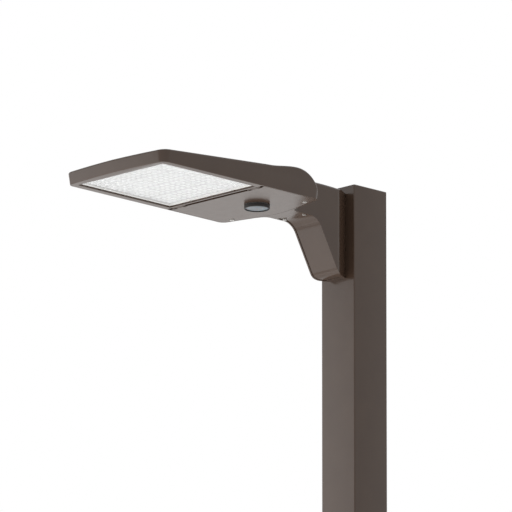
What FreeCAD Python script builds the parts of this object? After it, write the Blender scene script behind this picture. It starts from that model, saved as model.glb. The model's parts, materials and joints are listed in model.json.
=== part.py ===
import FreeCAD, Part
import math
import os

Vector = FreeCAD.Vector

# Pole-mounted LED area light with a flat head and a curved arm.
# Millimetres. +Z is up, the nose points to -Y and the pole stands at +Y.
# Origin: on the arm's pole face, on the centre plane, level with the head's underside.

# ---- Head casting ----------------------------------------------------------
head_length = 482.0        # tip of the nose to the rear corners
head_width = 298.0         # across the underside
nose_angle = 6.0           # each half of the nose edge falls back by this, degrees
nose_blend_radius = 1140.0
corner_radius = 17.5       # corners of the head, seen from below
side_flare = 8.0           # walls lean outward going up, degrees
nose_height = 28.5         # wall height along the whole nose edge
shoulder_height = 49.5     # wall height at the hinge line
shoulder_setback = 154.0   # hinge line to the rear corners
shoulder_slope = 0.05      # slope of the roof as it passes the hinge line
nose_plane_rise = 0.3      # the front planes end this far above the shoulder
crest_height = 58.2        # highest part of the side wall
rear_drop = 71.0           # length of the round fall behind the crest
rear_sweep = 13.0          # rear edge runs back towards the arm, degrees
roof_wall = 4.0            # casting thickness of the roof
edge_round = 1.5           # rounding of the lower outer edge
roof_round = 4.0           # rounding of the upper outer edge

# ---- Neck and spine of the head --------------------------------------------
neck_length = 22.0         # neck behind the door, up to the arm's flange
neck_blend_radius = 20.0   # hollow between rear edge and neck
spine_length = 205.0       # raised spine, counted forward from the arm's flange
spine_start_height = 46.5
spine_bow = 4.0
neck_top = 75.5            # height of the spine where the arm is bolted on

# ---- Light engine ----------------------------------------------------------
field_width = 263.0        # recess for the lens panel
field_length = 280.0
nose_rim = 24.0            # underside rim in front of the lens panel
field_corner = 4.0
panel_recess = 3.8         # lens panel above the underside plane
frame_width = 6.5
frame_thickness = 3.0
lens_thickness = 3.0
module_drop = 2.3          # optic modules stand this far below the lens plate
module_gap = 4.5
modules_per_side = 4
chips_per_module_side = 4
chip_size = 4.0
chip_height = 0.8
chip_pitch = 15.0    # spacing of the emitters in a module
gasket_thickness = 2.0
gasket_width = 5.0
board_thickness = 1.6
board_gap = 3.0
engine_depth = 16.0        # ceiling of the light engine pocket
engine_plate = 4.0         # casting left above it
fit_gap = 0.4              # clearance round pieces that drop into a pocket
close_gap = 0.2            # clearance round small screws, plugs and flat seals
hole_gap = 0.3             # clearance round screws and necks in plain holes

# ---- Cooling fins ----------------------------------------------------------
fin_well_margin = 6.0      # fin well reaches this far past the lens recess
fin_count = 17
fin_thickness = 3.0
fin_setback = 1.5          # fins end this far below the roof line

# ---- Driver bay and door ---------------------------------------------------
rim_width = 4.0            # housing rim seen round the door
door_gap = 0.8             # gap between rim and door
door_plate = 3.0
door_apex_radius = 200.0   # rounding of the door's rear edge at the centre plane
door_lip_width = 4.5
door_lip_top = 7.7
door_seat = 10.0           # ledge that the bay gasket lies on
door_gasket_width = 4.2
bay_wall = 9.0             # side wall round the bay
bay_front_wall = 6.0       # wall between hinge groove and bay
groove_height = 12.0

# ---- Door hinge ------------------------------------------------------------
hinge_setback = 166.0      # hinge axis to the rear corners
hinge_height = 5.0
knuckle_radius = 4.5
pin_radius = 2.0
pin_running_gap = 0.05
pin_seat_gap = 0.02
knuckle_length = 10.0      # each housing knuckle
door_knuckle_length = 19.0
knuckle_gap = 0.5
hinge_centre_x = 115.0
door_edge_setback = 3.0    # door edge behind the hinge axis
groove_gap = 1.0           # space in front of the turning door edge
notch_gap = 0.8

# ---- Captive door screws ---------------------------------------------------
door_screw_x = 112.0
door_screw_setback = -7.0  # screw centres in front of the rear corners
door_screw_radius = 2.5
door_screw_head_radius = 5.0
door_screw_head_height = 2.6
door_screw_length = 16.0
door_boss_seat = 12.0      # boss that the door screw enters
door_boss_radius = 7.0
door_boss_depth = 12.0
door_screw_gap = 0.6
screw_recess_depth = 1.2
captive_travel = 6.0
captive_ring_radius = 4.4
captive_ring_height = 1.2

# ---- Occupancy sensor ------------------------------------------------------
sensor_x = 20.0
sensor_setback = -62.0     # sensor centre in front of the rear corners
sensor_radius = 28.0
sensor_height = 9.6
sensor_wall = 2.5
sensor_lens_drop = 0.8
sensor_neck_radius = 14.0
sensor_neck_height = 14.0
sensor_lens_seat = 3.4     # depth of the lens pocket
sensor_well = 6.6          # depth behind the lens
sensor_cell_height = 3.2
sensor_gasket_thickness = 1.0
sensor_nut_radius = 20.0
sensor_nut_height = 6.0
sensor_cell_radius = 6.0
sensor_round = 1.2         # lower outer edge of the sensor's housing
sensor_lens_round = 1.0

# ---- Arm -------------------------------------------------------------------
arm_width = 81.0
arm_length = 161.0         # pole face to the flange that meets the head's neck
arm_top_at_pole = 73.0
arm_top_bulge = 3.5        # the back of the arm bows up by this
arm_bottom = -117.4
arm_flat = 34.2            # straight underside behind the flange
arm_toe = 21.0             # straight underside in front of the pole
upper_bend = 40.0
lower_bend = 28.0
arm_wall = 4.0
arm_roof = 5.0
arm_flange = 10.0
pad_thickness = 12.0
taper_length = 37.0        # the side walls turn in this far in front of the pole
taper_round = 25.0         # rounding where they turn in
pole_face_width = 48.0     # width of the face that meets the pole
arm_round = 7.0            # upper edges of arm and spine

# ---- Arm cover -------------------------------------------------------------
cover_recess = 1.5
cover_thickness = 3.0
cover_screw_x = 30.5
cover_screw_setback = 26.5 # behind the arm's flange face
cover_screw_radius = 2.5
cover_screw_head_radius = 4.6
cover_screw_head_height = 2.4
cover_screw_length = 14.0
cover_boss_half = 6.0
cover_boss_height = 20.0
cover_gap = 0.4

# ---- Pole fixing -----------------------------------------------------------
pole_bolt_spacing = 123.8
pole_bolt_hole_radius = 7.15
pole_bolt_centre_z = -24.0
wireway_radius = 16.0

# ---- Arm bolts -------------------------------------------------------------
arm_bolt_radius = 4.0
arm_bolt_spacing_x = 48.0
arm_bolt_low_z = 16.0
arm_bolt_high_z = 56.0
arm_bolt_engagement = 14.0
arm_bolt_head_radius = 6.5
arm_bolt_head_height = 8.0
arm_washer_radius = 8.0
arm_washer_thickness = 1.6
neck_wire_radius = 11.0
arm_gasket_thickness = 1.5
arm_gasket_margin = 7.0    # flange edge to gasket

# ---- Electrical parts ------------------------------------------------------
driver_length = 190.0
driver_width = 48.0
driver_height = 30.0
driver_tab = 12.0
driver_tab_thickness = 2.0
case_corner = 1.5          # corners of the driver and the small devices
driver_top = 40.0          # underside of the standoffs it hangs on
driver_screw_length = 7.0
device_top = 44.0          # underside of the standoffs of the small devices
device_tab = 9.0
driver_bay_offset = 6.0    # bay front wall to driver
surge_size = (56.0, 36.0, 24.0)
surge_x = -92.0
terminal_size = (52.0, 20.0, 16.0)
terminal_x = 92.0
terminal_poles = 5
device_front = 66.0        # bay front wall to surge protector and terminals
small_screw_radius = 1.5
small_screw_head_radius = 2.7
small_screw_head_height = 1.6
frame_screw_inset = 3.0    # lens frame edge to its screws
frame_screws_across = 5
frame_screws_along = 5
frame_screw_length = 13.0
board_screw_length = 4.6
board_screw_inset = 5.0
device_screw_radius = 2.0
device_screw_head_radius = 3.8
device_screw_head_height = 2.2
device_screw_length = 9.0
standoff_radius = 5.5
socket_length_share = 0.5  # cross socket, as a share of the screw head's radius
socket_width_share = 0.15
socket_depth_share = 0.5   # as a share of the screw head's height
ground_screw_x = -60.0
ground_screw_setback = -30.0
ground_boss_seat = 34.0
duct_half = 5.0            # wire duct between light engine and driver bay
duct_height = 10.0
duct_wall = 4.0
duct_step = 0.5            # the duct's floor lies this far below the engine's ceiling
duct_reach = 16.0          # duct mouth inside the light engine pocket
grommet_depth = 8.0
grommet_flange = 2.0

# ---- Derived places --------------------------------------------------------
half_width = head_width / 2
arm_half = arm_width / 2
sweep = math.tan(math.radians(rear_sweep))
flare = math.tan(math.radians(side_flare))
seam_y = -arm_length                                # neck meets the arm's flange
root_y = seam_y - neck_length                       # rear edge meets the neck
rear_y = root_y - sweep * (half_width - arm_half)   # rear corners
nose_y = rear_y - head_length
hinge_y = rear_y - hinge_setback
shoulder_y = rear_y - shoulder_setback
tall = 120.0                                        # above every piece

field_front = nose_y + nose_rim
field_rear = field_front + field_length
field_mid_y = (field_front + field_rear) / 2
lens_bottom = panel_recess + frame_thickness
lens_top = lens_bottom + lens_thickness
engine_seat = lens_top + gasket_thickness
pocket_half = (field_width / 2) - gasket_width - fit_gap
pocket_half_length = (field_length / 2) - gasket_width - fit_gap

door_edge_y = hinge_y + door_edge_setback
groove_front = hinge_y - math.hypot(door_edge_setback, hinge_height) - groove_gap
bay_front = door_edge_y + door_lip_width + bay_front_wall
door_screw_y = rear_y + door_screw_setback
sensor_y = rear_y + sensor_setback
arm_drop_y = seam_y + arm_flat                      # underside starts to fall
arm_bolt_zs = (arm_bolt_low_z, arm_bolt_high_z)
neck_wire_z = (arm_bolt_low_z + arm_bolt_high_z) / 2
frame_half = field_width / 2 - fit_gap
frame_half_length = field_length / 2 - fit_gap
module_pitch_x = 2 * (frame_half - frame_width) / modules_per_side
module_pitch_y = 2 * (frame_half_length - frame_width) / modules_per_side
duct_x = module_pitch_x / 2 + chip_pitch            # between two columns of emitters
board_bottom = engine_depth - board_thickness
fin_floor = engine_depth + engine_plate
fin_rear = bay_front - bay_front_wall
driver_y = bay_front + driver_bay_offset
device_y = bay_front + device_front
ground_screw_y = rear_y + ground_screw_setback
cover_screw_y = seam_y + cover_screw_setback
cover_depth = cover_recess + cover_thickness
gasket_bottom = door_seat - gasket_thickness
hinge_knuckle_half = door_knuckle_length / 2 + knuckle_gap + knuckle_length
pole_bolt_zs = (pole_bolt_centre_z - pole_bolt_spacing / 2, pole_bolt_centre_z + pole_bolt_spacing / 2)


# ---- Shape helpers ---------------------------------------------------------
def box(x0, x1, y0, y1, z0, z1):
    return Part.makeBox(x1 - x0, y1 - y0, z1 - z0, Vector(x0, y0, z0))


def post(x, y, z0, z1, radius):
    """Upright cylinder."""
    return Part.makeCylinder(radius, z1 - z0, Vector(x, y, z0))


def along_y(x, y0, y1, z, radius):
    """Cylinder that lies along Y."""
    return Part.makeCylinder(radius, y1 - y0, Vector(x, y0, z), Vector(0, 1, 0))


def along_x(x0, x1, y, z, radius):
    """Cylinder that lies along X."""
    return Part.makeCylinder(radius, x1 - x0, Vector(x0, y, z), Vector(1, 0, 0))


def rounded_wire(corners, z):
    """Closed outline at height z. Each corner is (x, y, radius)."""
    edges = []
    ends = []
    count = len(corners)
    for i in range(count):
        x, y, radius = corners[i]
        here = Vector(x, y, z)
        before = Vector(corners[i - 1][0], corners[i - 1][1], z) - here
        after = Vector(corners[(i + 1) % count][0], corners[(i + 1) % count][1], z) - here
        before.normalize()
        after.normalize()
        if radius == 0:
            ends.append((here, here))
            continue
        half_turn = before.getAngle(after) / 2
        reach_back = radius / math.tan(half_turn)
        inward = before + after
        inward.normalize()
        middle = here + inward * (radius / math.sin(half_turn) - radius)
        start = here + before * reach_back
        end = here + after * reach_back
        ends.append((start, end))
        edges.append(Part.Arc(start, middle, end).toShape())
    for i in range(count):
        edges.append(Part.LineSegment(ends[i - 1][1], ends[i][0]).toShape())
    return Part.Wire(Part.__sortEdges__(edges))


def rounded_prism(corners, z0, z1):
    face = Part.Face(rounded_wire(corners, z0))
    return face.extrude(Vector(0, 0, z1 - z0))


def rectangle(half_x, y0, y1, radius):
    return [(-half_x, y0, radius), (half_x, y0, radius), (half_x, y1, radius), (-half_x, y1, radius)]


def ring(outer, inner, z0, z1):
    return rounded_prism(outer, z0, z1).cut(rounded_prism(inner, z0 - 1, z1 + 1))


def side_curve(points):
    """Curve in the YZ plane through Bezier poles (y, z)."""
    curve = Part.BezierCurve()
    curve.setPoles([Vector(0, y, z) for y, z in points])
    return curve.toShape()


def side_line(start, end):
    return Part.LineSegment(Vector(0, *start), Vector(0, *end)).toShape()


def side_prism(edges, half):
    """YZ outline carried from -half to +half along X."""
    face = Part.Face(Part.Wire(edges))
    face.translate(Vector(-half, 0, 0))
    return face.extrude(Vector(2 * half, 0, 0))


def joined(shapes):
    return shapes[0].multiFuse(shapes[1:]).removeSplitter()


# ---- Head: outer and inner form --------------------------------------------
def head_corners(grow, end_y):
    """Underside outline grown outward by grow, with the neck running to end_y."""
    half = half_width + grow
    fall = half * math.tan(math.radians(nose_angle))
    tip = nose_y - grow - nose_blend_radius * (1 / math.cos(math.radians(nose_angle)) - 1)
    back = rear_y + grow / math.cos(math.radians(rear_sweep)) - sweep * grow
    neck = arm_half + grow
    root = back + sweep * (half - neck)
    radius = corner_radius + grow
    blend = neck_blend_radius - grow
    return [
        (0, tip, nose_blend_radius),
        (half, tip + fall, radius),
        (half, back, radius),
        (neck, root, blend),
        (neck, end_y, 0),
        (-neck, end_y, 0),
        (-neck, root, blend),
        (-half, back, radius),
        (-half, tip + fall, radius),
    ]


def roof_edges(inset, back):
    """Side profile at the side wall, from below the floor to the roof line less inset."""
    start = nose_y - 2 * half_width
    slope = shoulder_slope
    start_height = shoulder_height - slope * (shoulder_y - start) - inset
    shoulder = (shoulder_y, shoulder_height - inset)
    crest = (back - rear_drop, crest_height - inset)
    third = (crest[0] - shoulder[0]) / 3
    round_share = 0.5523
    floor = 0.0
    rise = [shoulder, (shoulder[0] + third, shoulder[1] + slope * third),
            (crest[0] - third, crest[1]), crest]
    end = back - inset
    fall = [crest, (crest[0] + round_share * (end - crest[0]), crest[1]),
            (end, round_share * crest[1]), (end, floor)]
    low = -50.0
    return [
        side_line((start, low), (start, start_height)),
        side_line((start, start_height), shoulder),
        side_curve(rise),
        side_curve(fall),
        side_line((end, floor), (end, low)),
        side_line((end, low), (start, low)),
    ]


def roof_form(inset, back):
    """Space under the roof. Both halves sweep back towards the centre plane."""
    width = half_width + 30.0
    halves = []
    for side in (-1, 1):
        face = Part.Face(Part.Wire(roof_edges(inset, back)))
        face.translate(Vector(0, sweep * half_width, 0))
        halves.append(face.extrude(Vector(side * width, -sweep * width, 0)))
    return halves[0].fuse(halves[1])


def nose_form(inset):
    """Space under the two front planes, which rise from the nose's edges to the shoulder."""
    turn = math.radians(nose_angle)
    end = shoulder_y - half_width * math.tan(turn)
    start = nose_y - half_width
    top = shoulder_height + nose_plane_rise
    slope = (top - nose_height) / (end - nose_y)
    low = -2 * half_width
    corners = [(start, low), (start, nose_height - slope * (nose_y - start) - inset),
               (end, top - inset), (end, tall), (0, tall), (0, low)]
    width = 2 * half_width
    halves = []
    for side in (-1, 1):
        edges = [side_line(corners[i - 1], corners[i]) for i in range(len(corners))]
        halves.append(Part.Face(Part.Wire(edges)).extrude(Vector(side * width, width * math.tan(turn), 0)))
    return halves[0].fuse(halves[1])


def under_roof(inset):
    """Space under the whole roof of the head, which is lowered by inset."""
    return roof_form(inset, rear_y).common(nose_form(inset))


def flared_form(inset):
    """Flared walls over the underside outline, drawn in by inset."""
    low = rounded_wire(head_corners(-inset, seam_y), 0)
    high = rounded_wire(head_corners(flare * tall - inset, seam_y), tall)
    return Part.makeLoft([low, high], True, True)


def spine_edges(drop):
    front = seam_y - spine_length
    top = neck_top - drop
    start = spine_start_height - drop
    middle = front + spine_length / 2
    return [
        side_line((front, 0), (front, start)),
        side_curve([(front, start), (middle, (start + top) / 2 + spine_bow), (seam_y, top)]),
        side_line((seam_y, top), (seam_y, 0)),
        side_line((seam_y, 0), (front, 0)),
    ]


def on_roof_line(span):
    """Edge between side wall and roof, from its bounding box."""
    beside = min(abs(span.XMin), abs(span.XMax)) > half_width - corner_radius - roof_round
    return beside and span.ZMin > nose_height - roof_round


def on_lower_edge(span):
    """Edge between wall and underside, in front of the rear corners."""
    return span.ZMax < 0.01 and span.YMax < rear_y


def head_form():
    """Whole outer body of the head with its spine and neck, still solid."""
    shell = flared_form(0).common(under_roof(0)).removeSplitter().Solids[0]
    shell = shell.makeFillet(roof_round, [e for e in shell.Edges if on_roof_line(e.BoundBox)])
    shell = shell.makeFillet(edge_round, [e for e in shell.Edges if on_lower_edge(e.BoundBox)])
    spine = side_prism(spine_edges(0), arm_half)
    crowns = [e for e in spine.Edges
              if abs(e.BoundBox.XLength) < 0.1 and e.BoundBox.YLength > spine_length - 1
              and e.BoundBox.ZMin > 1]
    spine = spine.makeFillet(arm_round, crowns)
    web = rounded_prism(head_corners(0, seam_y), 0, tall)
    web = web.common(box(-arm_half - neck_blend_radius, arm_half + neck_blend_radius,
                         rear_y - rear_drop, seam_y, 0, tall))
    web = web.common(roof_form(0, seam_y - sweep * half_width))
    return joined([shell, spine, web])


# ---- Housing ---------------------------------------------------------------
def door_corners(inset, front_y):
    """Outline of the driver bay, drawn in from the head's edge by inset."""
    half = half_width - inset
    back = rear_y - inset / math.cos(math.radians(rear_sweep)) + sweep * inset
    radius = corner_radius - inset / 2
    return [
        (-half, front_y, 0),
        (half, front_y, 0),
        (half, back, radius),
        (0, back + sweep * half, door_apex_radius),
        (-half, back, radius),
    ]


def field(inset):
    """Outline of the lens recess, drawn in by inset."""
    half = field_width / 2 - inset
    corner = max(field_corner - inset, 1.0)
    return rectangle(half, field_front + inset, field_rear - inset, corner)


def fin_air():
    """Open space between the cooling fins."""
    half = field_width / 2 + fin_well_margin
    top = 2 * crest_height
    air = box(-half, half, field_front, fin_rear, fin_floor, top)
    pitch = 2 * half / (fin_count + 1)
    solid = []
    for i in range(fin_count):
        x = -half + pitch * (i + 1)
        solid.append(box(x - fin_thickness / 2, x + fin_thickness / 2,
                         field_front, fin_rear, fin_floor, top))
    fins = Part.makeCompound(solid).common(under_roof(fin_setback))
    duct = box(duct_x - duct_half - duct_wall, duct_x + duct_half + duct_wall,
               field_rear - gasket_width - duct_reach - duct_wall, fin_rear,
               fin_floor, engine_depth + duct_height + duct_wall)
    return air.cut(fins).cut(duct)


def device_screws():
    """Screw places (x, y, seat height, shank radius, length) under the bay's ceiling."""
    driver_mid = driver_y + driver_width / 2
    driver_x = (driver_length + driver_tab) / 2
    places = [(side * driver_x, driver_mid, driver_top, driver_screw_length) for side in (-1, 1)]
    for x, size in ((surge_x, surge_size), (terminal_x, terminal_size)):
        reach_x = (size[0] + device_tab) / 2
        for side in (-1, 1):
            places.append((x + side * reach_x, device_y + size[1] / 2, device_top, device_screw_length))
    return places


def bay_air():
    """Driver bay, less the bosses that hang from its ceiling."""
    air = rounded_prism(door_corners(bay_wall, bay_front), -1, tall)
    air = air.common(roof_form(roof_wall, rear_y))
    bosses = [post(x, y, seat, tall, standoff_radius) for x, y, seat, length in device_screws()]
    bosses.append(post(ground_screw_x, ground_screw_y, ground_boss_seat, tall, standoff_radius))
    for side in (-1, 1):
        bosses.append(post(side * door_screw_x, door_screw_y, door_boss_seat, tall, door_boss_radius))
    return air.cut(Part.makeCompound(bosses))


def knuckle_spans():
    """(x0, x1) of the housing knuckles: two at each hinge."""
    spans = []
    for side in (-1, 1):
        for end in (-1, 1):
            middle = side * hinge_centre_x + end * (hinge_knuckle_half - knuckle_length / 2)
            spans.append((middle - knuckle_length / 2, middle + knuckle_length / 2))
    return spans


def housing_knuckle(x0, x1):
    barrel = along_x(x0, x1, hinge_y, hinge_height, knuckle_radius)
    web = box(x0, x1, hinge_y - knuckle_radius, hinge_y + knuckle_radius,
              hinge_height, groove_height)
    return barrel.fuse(web)


def frame_screw_places():
    """(x, y) of the lens frame screws, evenly spaced along all four sides."""
    half_x = frame_half - frame_screw_inset
    half_y = frame_half_length - frame_screw_inset
    places = []
    for i in range(frame_screws_across):
        x = half_x * (2 * i / (frame_screws_across - 1) - 1)
        places += [(x, field_mid_y - half_y), (x, field_mid_y + half_y)]
    for i in range(1, frame_screws_along - 1):
        y = field_mid_y + half_y * (2 * i / (frame_screws_along - 1) - 1)
        places += [(-half_x, y), (half_x, y)]
    return places


def board_screw_places():
    """(x, y) of the LED board screws, in the lanes between the optic modules."""
    places = []
    for sx in (-1, 1):
        for sy in (-1, 1):
            mid_x = sx * module_pitch_x
            mid_y = sy * module_pitch_y
            near = board_gap / 2 + board_screw_inset
            far_x = pocket_half - fit_gap - board_screw_inset
            far_y = pocket_half_length - fit_gap - board_screw_inset
            for x, y in ((mid_x, mid_y), (mid_x, sy * near), (mid_x, sy * far_y),
                         (sx * near, mid_y), (sx * far_x, mid_y)):
                places.append((x, field_mid_y + y))
    return places


def arm_bolt_places():
    return [(side * arm_bolt_spacing_x / 2, z) for side in (-1, 1) for z in arm_bolt_zs]


def housing():
    body = head_form()
    cuts = [
        rounded_prism(field(0), -1, engine_seat),
        rounded_prism(rectangle(pocket_half, field_mid_y - pocket_half_length,
                                field_mid_y + pocket_half_length, 1.0), 0, engine_depth),
        fin_air(),
        rounded_prism(door_corners(rim_width, groove_front), -1, door_seat),
        box(-half_width + rim_width, half_width - rim_width, groove_front,
            door_edge_y - fit_gap, door_seat - 1, groove_height),
        bay_air(),
        box(duct_x - duct_half, duct_x + duct_half, field_rear - gasket_width - duct_reach,
            bay_front + 1, engine_depth - duct_step, engine_depth + duct_height),
        along_y(0, bay_front, seam_y + 1, neck_wire_z, neck_wire_radius)
        .common(box(-arm_half, arm_half, rear_y, seam_y + 1, 0, tall)),
    ]
    for x, z in arm_bolt_places():
        cuts.append(along_y(x, seam_y - arm_bolt_engagement, seam_y + 1, z, arm_bolt_radius + pin_seat_gap))
    for x, y in frame_screw_places():
        cuts.append(post(x, y, engine_seat - 1, lens_bottom + frame_screw_length - frame_thickness,
                         small_screw_radius + pin_seat_gap))
    for x, y in board_screw_places():
        cuts.append(post(x, y, engine_depth - 1, board_bottom + board_screw_length,
                         small_screw_radius + pin_seat_gap))
    for x, y, seat, length in device_screws():
        cuts.append(post(x, y, seat - 1, seat - driver_tab_thickness + length,
                         device_screw_radius + pin_seat_gap))
    cuts.append(post(ground_screw_x, ground_screw_y, ground_boss_seat - 1,
                     ground_boss_seat + device_screw_length, device_screw_radius + pin_seat_gap))
    for side in (-1, 1):
        cuts.append(post(side * door_screw_x, door_screw_y, door_boss_seat - 1,
                         door_boss_seat + door_boss_depth, door_screw_radius + door_screw_gap))
    body = body.cut(cuts)
    body = body.fuse([housing_knuckle(x0, x1) for x0, x1 in knuckle_spans()])
    pins = [along_x(x0 - 1, x1 + 1, hinge_y, hinge_height, pin_radius + pin_seat_gap)
            for x0, x1 in knuckle_spans()]
    return body.cut(pins).removeSplitter()


# ---- Light engine ----------------------------------------------------------
def frame_outline(inset):
    corner = max(field_corner - inset, 1.0)
    return rectangle(frame_half - inset, field_mid_y - frame_half_length + inset,
                     field_mid_y + frame_half_length - inset, corner)


def screw_clearance(z0, z1):
    return [post(x, y, z0 - 1, z1 + 1, small_screw_radius + close_gap) for x, y in frame_screw_places()]


def lens_gasket():
    body = ring(frame_outline(0), frame_outline(gasket_width), lens_top, engine_seat)
    return body.cut(screw_clearance(lens_top, engine_seat))


def module_centres():
    middle = (modules_per_side - 1) / 2
    return [((i - middle) * module_pitch_x, field_mid_y + (j - middle) * module_pitch_y)
            for i in range(modules_per_side) for j in range(modules_per_side)]


def lens():
    """Clear plate with raised optic modules on its lower face."""
    plate = rounded_prism(frame_outline(0), lens_bottom, lens_top)
    half_x = (module_pitch_x - module_gap) / 2
    half_y = (module_pitch_y - module_gap) / 2
    modules = [box(x - half_x, x + half_x, y - half_y, y + half_y,
                   lens_bottom - module_drop, lens_bottom) for x, y in module_centres()]
    return plate.fuse(modules).removeSplitter().cut(screw_clearance(lens_bottom, lens_top))


def lens_frame():
    body = ring(frame_outline(0), frame_outline(frame_width), panel_recess, lens_bottom)
    return body.cut(screw_clearance(panel_recess, lens_bottom))


def pan_screw(x, y, seat, length, radius, head_radius, head_height):
    """Screw driven upward: head below seat, shank above it, with a cross-shaped socket."""
    head = post(x, y, seat - head_height, seat, head_radius)
    shank = post(x, y, seat, seat + length, radius)
    body = head.fuse(shank).removeSplitter()
    half = head_radius * socket_length_share
    slot = head_radius * socket_width_share
    low = seat - head_height
    depth = head_height * socket_depth_share
    for dx, dy in ((half, slot), (slot, half)):
        body = body.cut(box(x - dx, x + dx, y - dy, y + dy, low - 1, low + depth))
    return body


def lens_frame_screws():
    return [pan_screw(x, y, panel_recess, frame_screw_length, small_screw_radius,
                      small_screw_head_radius, small_screw_head_height)
            for x, y in frame_screw_places()]


def led_boards():
    near = board_gap / 2
    boards = []
    for sx in (-1, 1):
        for sy in (-1, 1):
            xs = sorted((sx * near, sx * (pocket_half - fit_gap)))
            ys = sorted((sy * near, sy * (pocket_half_length - fit_gap)))
            board = box(xs[0], xs[1], field_mid_y + ys[0], field_mid_y + ys[1],
                        board_bottom, engine_depth)
            boards.append(board)
    holes = [post(x, y, board_bottom - 1, engine_depth + 1, small_screw_radius + close_gap)
             for x, y in board_screw_places()]
    mouth = box(duct_x - duct_half, duct_x + duct_half, field_rear - gasket_width - duct_reach,
                field_rear, 0, tall)
    return [board.cut(holes + [mouth]) for board in boards]


def led_chips():
    middle = (chips_per_module_side - 1) / 2
    half = chip_size / 2
    chips = []
    for x, y in module_centres():
        for i in range(chips_per_module_side):
            for j in range(chips_per_module_side):
                cx = x + (i - middle) * chip_pitch
                cy = y + (j - middle) * chip_pitch
                chips.append(box(cx - half, cx + half, cy - half, cy + half,
                                 board_bottom - chip_height, board_bottom))
    return chips


def board_screws():
    return [pan_screw(x, y, board_bottom, board_screw_length, small_screw_radius,
                      small_screw_head_radius, small_screw_head_height)
            for x, y in board_screw_places()]


# ---- Driver bay contents ---------------------------------------------------
def tabbed_device(x, y, size, tab, top):
    """Box under two ear tabs. size is X, Y, Z and top is where the tabs seat."""
    length, width, height = size
    footprint = [(x - length / 2, y, case_corner), (x + length / 2, y, case_corner),
                 (x + length / 2, y + width, case_corner), (x - length / 2, y + width, case_corner)]
    body = rounded_prism(footprint, top - height, top)
    ears = box(x - length / 2 - tab, x + length / 2 + tab, y + width / 4, y + 3 * width / 4,
               top - driver_tab_thickness, top)
    holes = [post(x + side * (length + tab) / 2, y + width / 2, top - height, top + 1,
                  device_screw_radius + hole_gap) for side in (-1, 1)]
    return body.fuse(ears).removeSplitter().cut(holes)


def driver():
    return tabbed_device(0, driver_y, (driver_length, driver_width, driver_height),
                         driver_tab, driver_top)


def surge_protector():
    return tabbed_device(surge_x, device_y, surge_size, device_tab, device_top)


def terminal_block():
    """Insulating block with one screw well per pole on its lower face."""
    body = tabbed_device(terminal_x, device_y, terminal_size, device_tab, device_top)
    length, width, height = terminal_size
    pitch = length / terminal_poles
    wells = [post(terminal_x - length / 2 + pitch * (i + 0.5), device_y + width / 2,
                  device_top - height - 1, device_top - height / 2, pitch / 3)
             for i in range(terminal_poles)]
    return body.cut(wells)


def terminal_screws():
    length, width, height = terminal_size
    pitch = length / terminal_poles
    seat = device_top - height / 2
    return [post(terminal_x - length / 2 + pitch * (i + 0.5), device_y + width / 2,
                 seat - height / 4, seat, pitch / 3 - close_gap) for i in range(terminal_poles)]


def device_mount_screws():
    screws = []
    for x, y, seat, length in device_screws():
        screws.append(pan_screw(x, y, seat - driver_tab_thickness, length, device_screw_radius,
                                device_screw_head_radius, device_screw_head_height))
    return screws


def ground_screw():
    return pan_screw(ground_screw_x, ground_screw_y, ground_boss_seat, device_screw_length,
                     device_screw_radius, device_screw_head_radius, device_screw_head_height)


def wire_grommet():
    """Rubber plug in the duct's mouth, with a flange inside the driver bay."""
    z0 = engine_depth
    z1 = engine_depth + duct_height
    plug = box(duct_x - duct_half + close_gap, duct_x + duct_half - close_gap,
               bay_front - grommet_depth, bay_front, z0 + close_gap, z1 - close_gap)
    flange = box(duct_x - duct_half - grommet_flange, duct_x + duct_half + grommet_flange,
                 bay_front, bay_front + grommet_flange, z0 - grommet_flange, z1 + grommet_flange)
    bore = along_y(duct_x, bay_front - grommet_depth - 1, bay_front + grommet_flange + 1,
                   (z0 + z1) / 2, duct_height / 4)
    return plug.fuse(flange).removeSplitter().cut(bore)


# ---- Door ------------------------------------------------------------------
def door():
    inset = rim_width + door_gap
    body = rounded_prism(door_corners(inset, door_edge_y), 0, door_plate)
    lip = ring(door_corners(inset, door_edge_y),
               door_corners(inset + door_lip_width, door_edge_y + door_lip_width),
               door_plate, door_lip_top)
    knuckles = []
    for side in (-1, 1):
        x0 = side * hinge_centre_x - door_knuckle_length / 2
        x1 = side * hinge_centre_x + door_knuckle_length / 2
        knuckles.append(along_x(x0, x1, hinge_y, hinge_height, knuckle_radius))
        knuckles.append(box(x0, x1, hinge_y, door_edge_y + 1,
                            hinge_height - knuckle_radius, door_lip_top))
    body = body.fuse([lip] + knuckles).removeSplitter()
    cuts = [box(x0 - notch_gap, x1 + notch_gap, hinge_y - 1 + door_edge_setback,
                hinge_y + knuckle_radius + notch_gap, -1, door_lip_top + 1)
            for x0, x1 in knuckle_spans()]
    cuts.append(along_x(-half_width, half_width, hinge_y, hinge_height, pin_radius + pin_running_gap))
    cuts.append(post(sensor_x, sensor_y, -1, door_plate + 1, sensor_neck_radius + hole_gap))
    for side in (-1, 1):
        x = side * door_screw_x
        cuts.append(post(x, door_screw_y, -1, door_plate + 1, door_screw_radius + hole_gap))
        cuts.append(post(x, door_screw_y, -1, screw_recess_depth, door_screw_head_radius + door_screw_gap))
    return body.cut(cuts)


def door_gasket():
    front = hinge_y + knuckle_radius + fit_gap
    return ring(door_corners(rim_width + door_gap, front),
                door_corners(bay_wall, front + door_gasket_width), gasket_bottom, door_seat)


def hinge_pins():
    return [along_x(side * hinge_centre_x - hinge_knuckle_half, side * hinge_centre_x + hinge_knuckle_half,
                    hinge_y, hinge_height, pin_radius) for side in (-1, 1)]


def door_screw(side):
    return pan_screw(side * door_screw_x, door_screw_y, screw_recess_depth, door_screw_length,
                     door_screw_radius, door_screw_head_radius, door_screw_head_height)


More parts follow.
